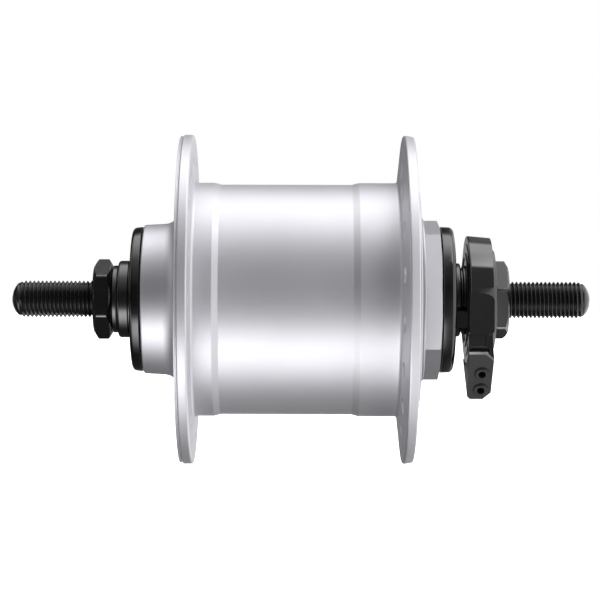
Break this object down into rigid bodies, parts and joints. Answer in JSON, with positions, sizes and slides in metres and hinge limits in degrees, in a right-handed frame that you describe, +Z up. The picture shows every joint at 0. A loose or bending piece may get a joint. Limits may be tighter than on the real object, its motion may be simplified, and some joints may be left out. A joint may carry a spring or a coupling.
{
  "type": "bicycle front hub generator",
  "caption": "Front bicycle hub generator with a spoked alloy shell, threaded axle, locknuts, dust covers and a side connector with a plug cap.",
  "frame": {"origin": "on the axle's centre line, midway between the outer faces of the two locknuts and between the axle's ends", "axes": "+X along the axle to the connector side, +Z up, away from the plug, +Y to the back"},
  "size_m": [0.14, 0.0796, 0.0796],
  "materials": {
    "shell_alloy": "satin silver, turned and clear coated",
    "cap_alloy": "matte blasted",
    "black_steel": "black oxide",
    "plated_steel": "zinc plated",
    "bearing_steel": "ground and polished",
    "retainer_steel": "yellow passivated",
    "soft_iron": "dark phosphated",
    "magnet_ferrite": "sintered, dull",
    "cover_plastic": "satin black",
    "gloss_housing": "gloss black",
    "cap_plastic": "dark grey, semi-matte",
    "bobbin_nylon": "natural",
    "copper_wire": "enamelled",
    "terminal_brass": "bright",
    "lead_insulation": "red insulation",
    "seal_rubber": "soft black"
  },
  "bodies": {
    "axle_set": {"axle": "black_steel", "left_locknut": "black_steel", "left_lock_washer": "black_steel", "left_cone": "black_steel", "left_dust_cover": "cover_plastic", "right_cone": "black_steel", "right_dust_cover": "cover_plastic", "right_spacer": "black_steel", "right_lock_washer": "plated_steel", "right_locknut": "black_steel", "connector_housing": "gloss_housing", "connector_terminals": "terminal_brass", "left_stator_nut": "plated_steel", "stator_washers": "plated_steel", "left_claw_pole": "soft_iron", "stator_core": "soft_iron", "coil_bobbin": "bobbin_nylon", "coil_winding": "copper_wire", "right_claw_pole": "soft_iron", "right_stator_nut": "plated_steel", "right_inner_spacer": "plated_steel", "lead_wires": "lead_insulation"},
    "hub_rotor": {"hub_shell": "shell_alloy", "end_cap": "cap_alloy", "end_cap_seal": "seal_rubber", "magnet_yoke": "soft_iron", "rotor_magnets": "magnet_ferrite", "left_bearing_cup": "bearing_steel", "left_seal_ring": "seal_rubber", "right_bearing_cup": "bearing_steel", "right_seal_ring": "seal_rubber"},
    "left_ball_set": {"left_balls": "bearing_steel", "left_ball_retainer": "retainer_steel"},
    "right_ball_set": {"right_balls": "bearing_steel", "right_ball_retainer": "retainer_steel"},
    "connector_cap_set": {"connector_cap": "cap_plastic", "cap_wire_bushes": "cap_plastic"}
  },
  "joints": [
    {"name": "shell_spin", "type": "hinge", "parent": "axle_set", "child": "hub_rotor", "pos_m": [0, 0, 0], "axis": [1, 0, 0], "continuous": true},
    {"name": "left_balls_orbit", "type": "hinge", "parent": "axle_set", "child": "left_ball_set", "pos_m": [-0.0335, 0, 0], "axis": [1, 0, 0], "continuous": true},
    {"name": "right_balls_orbit", "type": "hinge", "parent": "axle_set", "child": "right_ball_set", "pos_m": [0.0289, 0, 0], "axis": [1, 0, 0], "continuous": true},
    {"name": "connector_cap_slide", "type": "slide", "parent": "axle_set", "child": "connector_cap_set", "axis": [0, 0.5299, -0.848], "range_m": [0, 0.014]}
  ],
  "couplings": [
    {"joint": "left_balls_orbit", "follows": "shell_spin", "ratio": 0.581},
    {"joint": "right_balls_orbit", "follows": "shell_spin", "ratio": 0.581}
  ]
}
